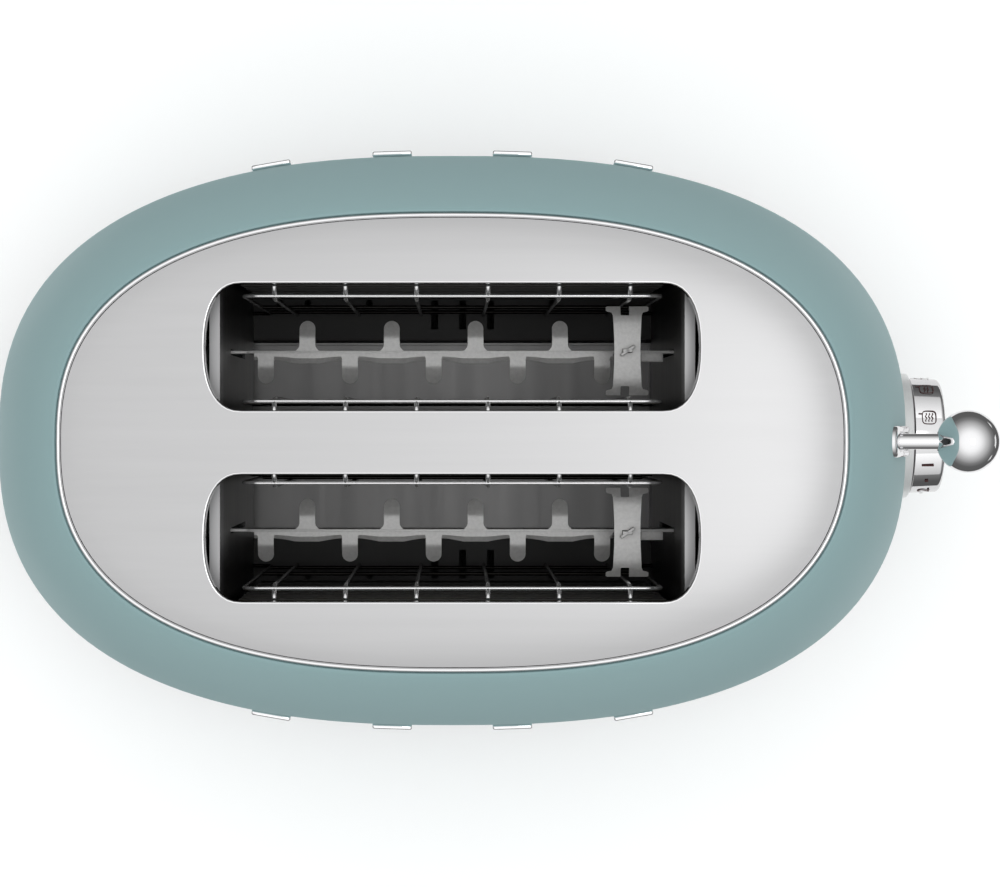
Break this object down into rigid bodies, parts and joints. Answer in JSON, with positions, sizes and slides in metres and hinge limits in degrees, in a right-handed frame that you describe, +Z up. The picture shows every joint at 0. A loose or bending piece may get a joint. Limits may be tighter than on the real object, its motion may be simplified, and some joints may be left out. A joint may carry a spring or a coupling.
{
  "type": "pop-up toaster",
  "caption": "Retro pop-up toaster: domed oval steel body, steel top panel with bread slots, ball lever that lowers the bread racks, browning dial with stop button, pull-out crumb tray.",
  "frame": {"origin": "on the table, in the plane of the feet's undersides, under the middle of the oval body", "axes": "+Z up, +X along the body's length towards the lever and dial, +Y to the left of someone facing the way the lever end faces"},
  "size_m": [0.3133, 0.1912, 0.196],
  "materials": {
    "enamel": "powder-coated sage, satin",
    "panel_steel": "satin drawn steel",
    "bright_trim": "polished",
    "base_black": "moulded, matt",
    "foot_rubber": "matt",
    "chrome": "polished",
    "tray_steel": "brushed",
    "chassis_steel": "galvanised sheet",
    "reflector_steel": "aluminised sheet",
    "mica": "mica board",
    "heating_ribbon": "oxidised ribbon",
    "guard_wire": "bright wire",
    "rack_steel": "plain sheet",
    "bearing_plastic": "natural nylon",
    "spring_steel": "zinc-plated",
    "brass": "plain",
    "iron": "plain",
    "coil_wire": "enamelled copper windings",
    "board": "solder-masked board",
    "component": "moulded",
    "lead_insulation": "heat-proof sleeve",
    "screw_steel": "zinc-plated"
  },
  "bodies": {
    "toaster": {"body_shell": "enamel", "top_panel": "panel_steel", "panel_trim": "bright_trim", "base_pan": "base_black", "base_trim": "bright_trim", "foot_front_left": "foot_rubber", "foot_front_right": "foot_rubber", "foot_rear_left": "foot_rubber", "foot_rear_right": "foot_rubber", "lever_escutcheon": "chrome", "dial_bezel": "chrome", "potentiometer": "component", "side_bars_left": "chrome", "side_bars_right": "chrome", "cord_gland": "base_black", "front_plate": "chassis_steel", "rear_plate": "chassis_steel", "reflector_left": "reflector_steel", "reflector_right": "reflector_steel", "bus_bars": "brass", "guide_rod": "spring_steel", "rod_bumper": "foot_rubber", "lift_spring": "spring_steel", "magnet_core": "iron", "magnet_coil": "coil_wire", "control_board": "board", "board_bracket": "base_black", "board_parts": "component", "internal_leads": "lead_insulation", "base_screws": "screw_steel", "chassis_screws": "screw_steel", "board_screws": "screw_steel", "mica_outer_left": "mica", "winding_outer_left": "heating_ribbon", "mica_inner_left": "mica", "winding_inner_left": "heating_ribbon", "mica_inner_right": "mica", "winding_inner_right": "heating_ribbon", "mica_outer_right": "mica", "winding_outer_right": "heating_ribbon"},
    "carriage": {"rack_left": "rack_steel", "rack_right": "rack_steel", "bridge_left": "rack_steel", "bridge_right": "rack_steel", "carriage_bracket": "rack_steel", "slide_bush": "bearing_plastic", "lever_rod": "chrome", "lever_ball": "chrome", "ball_grub_screw": "screw_steel", "keeper_plate": "iron"},
    "guard_outer_left": {"guard_outer_left": "guard_wire"},
    "guard_inner_left": {"guard_inner_left": "guard_wire"},
    "guard_inner_right": {"guard_inner_right": "guard_wire"},
    "guard_outer_right": {"guard_outer_right": "guard_wire"},
    "dial": {"dial_knob": "chrome", "dial_shaft": "spring_steel"},
    "stop_button": {"stop_button": "chrome"},
    "crumb_tray": {"crumb_tray": "tray_steel", "tray_handle": "bright_trim"}
  },
  "joints": [
    {"name": "lever_slide", "type": "slide", "parent": "toaster", "child": "carriage", "axis": [0, 0, -1], "range_m": [0, 0.05], "stiffness_N_per_m": 150, "springref_m": -0.03, "deforming": ["lift_spring"]},
    {"name": "guard_outer_left_hinge", "type": "hinge", "parent": "toaster", "child": "guard_outer_left", "pos_m": [0, 0.04265, 0.026], "axis": [1, 0, 0], "range_deg": [0, 1.95]},
    {"name": "guard_inner_left_hinge", "type": "hinge", "parent": "toaster", "child": "guard_inner_left", "pos_m": [0, 0.01185, 0.026], "axis": [-1, 0, 0], "range_deg": [0, 1.95]},
    {"name": "guard_inner_right_hinge", "type": "hinge", "parent": "toaster", "child": "guard_inner_right", "pos_m": [0, -0.01185, 0.026], "axis": [1, 0, 0], "range_deg": [0, 1.95]},
    {"name": "guard_outer_right_hinge", "type": "hinge", "parent": "toaster", "child": "guard_outer_right", "pos_m": [0, -0.04265, 0.026], "axis": [-1, 0, 0], "range_deg": [0, 1.95]},
    {"name": "dial_turn", "type": "hinge", "parent": "toaster", "child": "dial", "pos_m": [0.15, 0.0015, 0.06], "axis": [-1, 0, 0], "range_deg": [0, 337]},
    {"name": "stop_push", "type": "slide", "parent": "dial", "child": "stop_button", "axis": [-1, 0, 0], "range_m": [0, 0.0015], "stiffness_N_per_m": 400, "springref_m": -0.002},
    {"name": "crumb_tray_slide", "type": "slide", "parent": "toaster", "child": "crumb_tray", "axis": [-1, 0, 0], "range_m": [0, 0.2]}
  ],
  "couplings": [
    {"joint": "guard_outer_left_hinge", "follows": "lever_slide", "rad_per_m": 0.672},
    {"joint": "guard_inner_left_hinge", "follows": "lever_slide", "rad_per_m": 0.672},
    {"joint": "guard_inner_right_hinge", "follows": "lever_slide", "rad_per_m": 0.672},
    {"joint": "guard_outer_right_hinge", "follows": "lever_slide", "rad_per_m": 0.672}
  ]
}
